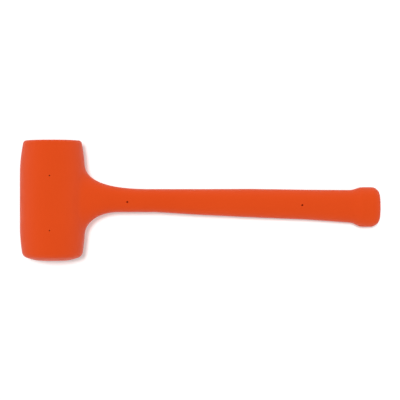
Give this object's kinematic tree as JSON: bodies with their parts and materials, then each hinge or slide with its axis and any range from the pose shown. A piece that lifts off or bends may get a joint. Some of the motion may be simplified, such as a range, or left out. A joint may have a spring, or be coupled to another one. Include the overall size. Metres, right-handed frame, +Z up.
{
  "type": "dead blow mallet",
  "caption": "One-piece orange urethane dead blow mallet: barrel head and oval handle cast over a steel canister of loose shot and a steel handle rod.",
  "frame": {"origin": "the middle of the mallet's length and width, on the bench that it lies on", "axes": "+X along the handle from the head to the butt, +Y along the head to its front striking face, +Z up from the bench"},
  "size_m": [0.3614, 0.1204, 0.0648],
  "materials": {
    "orange_urethane": "satin",
    "canister_steel": "satin",
    "rod_steel": "satin",
    "shot_steel": "polished"
  },
  "bodies": {
    "mallet": {"urethane_body": "orange_urethane", "canister_tube": "canister_steel", "canister_cap_front": "canister_steel", "canister_cap_back": "canister_steel", "rod_socket": "canister_steel", "socket_pin": "rod_steel", "handle_rod": "rod_steel"},
    "shot": {"shot_ball_01": "shot_steel", "shot_ball_02": "shot_steel", "shot_ball_03": "shot_steel", "shot_ball_04": "shot_steel", "shot_ball_05": "shot_steel", "shot_ball_06": "shot_steel", "shot_ball_07": "shot_steel", "shot_ball_08": "shot_steel", "shot_ball_09": "shot_steel", "shot_ball_10": "shot_steel", "shot_ball_11": "shot_steel", "shot_ball_12": "shot_steel", "shot_ball_13": "shot_steel", "shot_ball_14": "shot_steel", "shot_ball_15": "shot_steel", "shot_ball_16": "shot_steel", "shot_ball_17": "shot_steel", "shot_ball_18": "shot_steel", "shot_ball_19": "shot_steel", "shot_ball_20": "shot_steel", "shot_ball_21": "shot_steel", "shot_ball_22": "shot_steel", "shot_ball_23": "shot_steel", "shot_ball_24": "shot_steel", "shot_ball_25": "shot_steel", "shot_ball_26": "shot_steel", "shot_ball_27": "shot_steel", "shot_ball_28": "shot_steel", "shot_ball_29": "shot_steel", "shot_ball_30": "shot_steel", "shot_ball_31": "shot_steel", "shot_ball_32": "shot_steel", "shot_ball_33": "shot_steel", "shot_ball_34": "shot_steel", "shot_ball_35": "shot_steel", "shot_ball_36": "shot_steel", "shot_ball_37": "shot_steel", "shot_ball_38": "shot_steel", "shot_ball_39": "shot_steel", "shot_ball_40": "shot_steel", "shot_ball_41": "shot_steel", "shot_ball_42": "shot_steel", "shot_ball_43": "shot_steel", "shot_ball_44": "shot_steel", "shot_ball_45": "shot_steel", "shot_ball_46": "shot_steel", "shot_ball_47": "shot_steel", "shot_ball_48": "shot_steel", "shot_ball_49": "shot_steel"}
  },
  "joints": [
    {"name": "shot_slide", "type": "slide", "parent": "mallet", "child": "shot", "axis": [0, 1, 0], "range_m": [-0.009, 0.009]}
  ]
}
